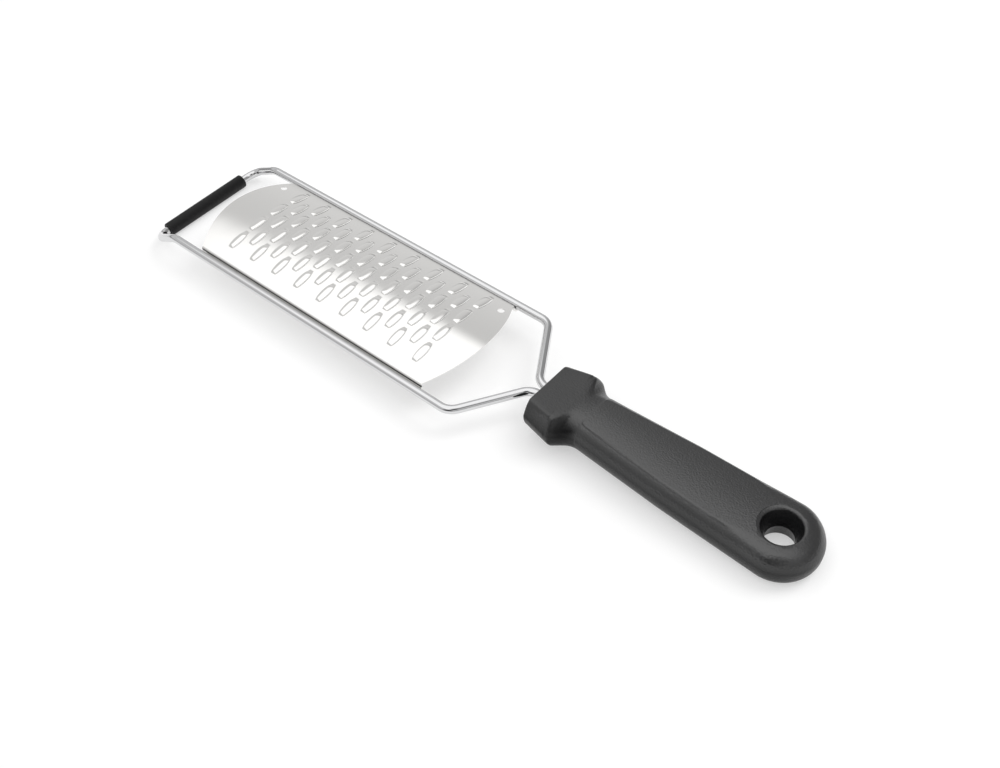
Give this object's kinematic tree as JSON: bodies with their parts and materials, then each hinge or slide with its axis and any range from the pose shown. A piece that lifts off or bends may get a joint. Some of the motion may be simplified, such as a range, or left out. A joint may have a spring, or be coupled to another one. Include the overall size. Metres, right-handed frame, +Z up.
{
  "type": "hand grater",
  "caption": "Flat hand grater: an arched, toothed steel blade hooked onto a bent wire frame, with a moulded handle that has a hanging hole, and a rubber sleeve as its foot.",
  "frame": {"origin": "on the surface that the grater lies on, under the middle of its length and width", "axes": "+X along the grater towards the handle's end, +Y across the blade, +Z up, away from the surface"},
  "size_m": [0.3578, 0.069, 0.0204],
  "materials": {
    "steel_wire": "polished drawn stainless wire",
    "steel_sheet": "bright rolled stainless sheet, pressed",
    "sleeve_rubber": "smooth extruded rubber, matte",
    "handle_plastic": "fine moulded texture, matte"
  },
  "bodies": {
    "root": {"wire_frame": "steel_wire", "foot_sleeve": "sleeve_rubber", "blade": "steel_sheet", "handle": "handle_plastic"}
  },
  "joints": []
}
